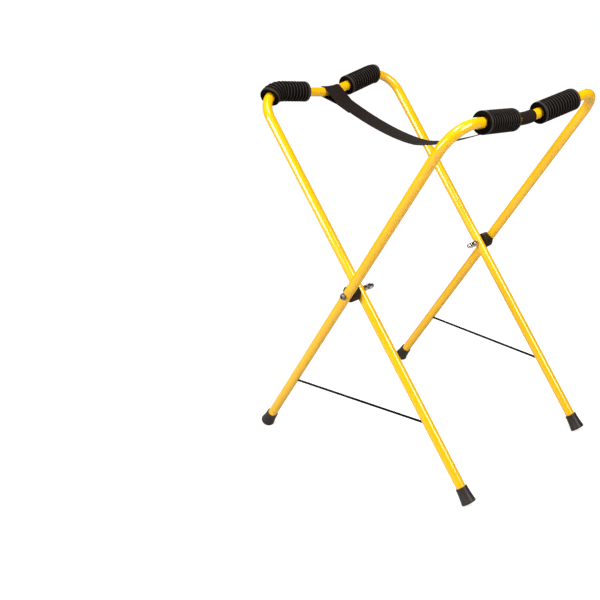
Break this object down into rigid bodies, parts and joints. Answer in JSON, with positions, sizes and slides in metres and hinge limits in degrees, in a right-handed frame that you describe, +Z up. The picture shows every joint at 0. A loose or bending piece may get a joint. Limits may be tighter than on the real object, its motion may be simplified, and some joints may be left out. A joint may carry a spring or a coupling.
{
  "type": "kayak stand",
  "caption": "Folding stand with two crossed bent-tube frames, ribbed grips, rubber feet, limit cords and a webbing strap that cradles a hull.",
  "frame": {"origin": "on the floor, midway between the four feet, under the middle of the pivot axis", "axes": "+Z up; Y along the pivot axis and the hull that the stand holds; X the way the legs spread"},
  "size_m": [0.649, 0.5424, 0.8509],
  "materials": {
    "yellow_paint": "gloss powder coat",
    "grip_rubber": "ribbed satin",
    "foot_rubber": "satin",
    "zinc_steel": "zinc plated",
    "spacer_plastic": "moulded",
    "webbing": "woven",
    "cord": "braided"
  },
  "bodies": {
    "outer_frame": {"outer_frame_tube": "yellow_paint", "outer_grip_near": "grip_rubber", "outer_grip_far": "grip_rubber", "outer_foot_near": "foot_rubber", "outer_foot_far": "foot_rubber", "outer_foot_disc_near": "zinc_steel", "outer_foot_disc_far": "zinc_steel", "pivot_bolt_near": "zinc_steel", "pivot_bolt_far": "zinc_steel", "head_washer_near": "zinc_steel", "head_washer_far": "zinc_steel", "pivot_spacer_near": "spacer_plastic", "pivot_spacer_far": "spacer_plastic", "nut_washer_near": "zinc_steel", "nut_washer_far": "zinc_steel", "lock_nut_near": "zinc_steel", "lock_nut_far": "zinc_steel", "cap_nut_near": "zinc_steel", "cap_nut_far": "zinc_steel", "support_strap": "webbing", "limit_cord_near": "cord", "limit_cord_far": "cord"},
    "inner_frame": {"inner_frame_tube": "yellow_paint", "inner_grip_near": "grip_rubber", "inner_grip_far": "grip_rubber", "inner_foot_near": "foot_rubber", "inner_foot_far": "foot_rubber", "inner_foot_disc_near": "zinc_steel", "inner_foot_disc_far": "zinc_steel"}
  },
  "joints": [
    {"name": "fold", "type": "hinge", "parent": "outer_frame", "child": "inner_frame", "pos_m": [0, 0, 0.42751], "axis": [0, 1, 0], "range_deg": [0, 67], "deforming": ["support_strap", "limit_cord_near", "limit_cord_far"]}
  ]
}
